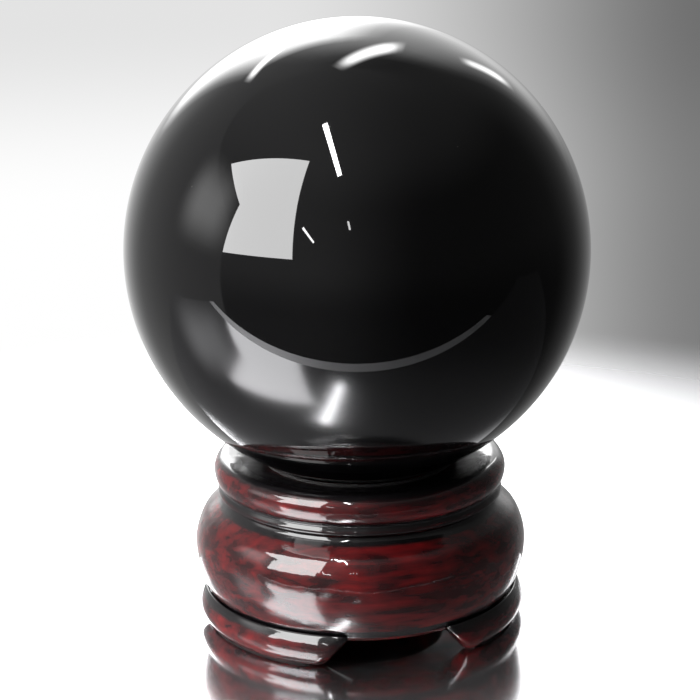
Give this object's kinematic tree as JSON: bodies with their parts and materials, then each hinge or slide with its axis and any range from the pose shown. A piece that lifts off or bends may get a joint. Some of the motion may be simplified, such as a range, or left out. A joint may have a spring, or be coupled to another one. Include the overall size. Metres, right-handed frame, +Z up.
{
  "type": "crystal ball",
  "caption": "Polished black stone sphere resting loose in a felt-lined ring on a turned, lacquered wooden stand with carved feet.",
  "frame": {"origin": "on the table, straight below the centre of the ball", "axes": "+Z up through the ball and the stand; -Y towards the front notch between two feet"},
  "size_m": [0.1, 0.1, 0.1323],
  "materials": {
    "black_stone": "mirror-polished black volcanic glass, opaque",
    "lacquered_rosewood": "red-brown stain under thick gloss lacquer, blackened in the grooves",
    "felt": "thin black wool felt"
  },
  "bodies": {
    "stand": {"rim_ring": "lacquered_rosewood", "drum": "lacquered_rosewood", "foot_right": "lacquered_rosewood", "foot_back": "lacquered_rosewood", "foot_left": "lacquered_rosewood", "foot_pad_right": "felt", "foot_pad_back": "felt", "foot_pad_left": "felt", "seat_felt": "felt"},
    "ball": {"ball": "black_stone"}
  },
  "joints": [
    {"name": "ball_lift", "type": "slide", "parent": "stand", "child": "ball", "axis": [0, 0, 1], "range_m": [0, 0.06]}
  ]
}
